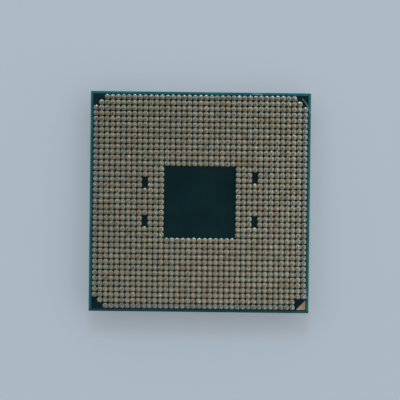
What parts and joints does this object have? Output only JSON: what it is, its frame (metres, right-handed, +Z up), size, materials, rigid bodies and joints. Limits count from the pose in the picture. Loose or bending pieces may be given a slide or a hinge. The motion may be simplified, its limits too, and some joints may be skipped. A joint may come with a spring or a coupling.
{
  "type": "desktop processor",
  "caption": "Square desktop processor in a pin-grid package: a laminate board with a field of gold contact pins around a bare middle, and a stepped metal heat spreader behind it.",
  "frame": {"origin": "centre of the heat spreader's cooler face, on which the part lies", "axes": "+Z up through the board to the tips of the pins; the pin-one corner is at +X, -Y"},
  "size_m": [0.04, 0.04, 0.0066],
  "materials": {
    "board_resist": "dark teal solder resist, lighter at the rim",
    "gold_plate": "gold plate",
    "pin_solder": "satin solder with a gold tint",
    "nickel_plate": "satin nickel plate",
    "seal_adhesive": "matt black silicone",
    "soft_solder": "dull solder",
    "silicon": "polished silicon",
    "underfill_resin": "dark filled resin",
    "capacitor_ceramic": "fired ceramic with tinned ends"
  },
  "bodies": {
    "root": {"substrate": "board_resist", "pin_one_mark": "gold_plate", "lid_side_mark": "gold_plate", "heat_spreader": "nickel_plate", "lid_seal": "seal_adhesive", "thermal_solder": "soft_solder", "die": "silicon", "underfill": "underfill_resin", "capacitor_solder": "soft_solder", "corner_pins": "gold_plate", "pins_rear": "gold_plate", "pins_front": "gold_plate", "pins_left": "gold_plate", "pins_right": "gold_plate", "solder_rear": "pin_solder", "solder_front": "pin_solder", "solder_left": "pin_solder", "solder_right": "pin_solder", "capacitor_1": "capacitor_ceramic", "capacitor_2": "capacitor_ceramic", "capacitor_3": "capacitor_ceramic", "capacitor_4": "capacitor_ceramic", "capacitor_5": "capacitor_ceramic", "capacitor_6": "capacitor_ceramic", "capacitor_7": "capacitor_ceramic", "capacitor_8": "capacitor_ceramic", "capacitor_9": "capacitor_ceramic", "capacitor_10": "capacitor_ceramic", "capacitor_11": "capacitor_ceramic", "capacitor_12": "capacitor_ceramic", "capacitor_13": "capacitor_ceramic", "capacitor_14": "capacitor_ceramic", "capacitor_15": "capacitor_ceramic", "capacitor_16": "capacitor_ceramic"}
  },
  "joints": []
}
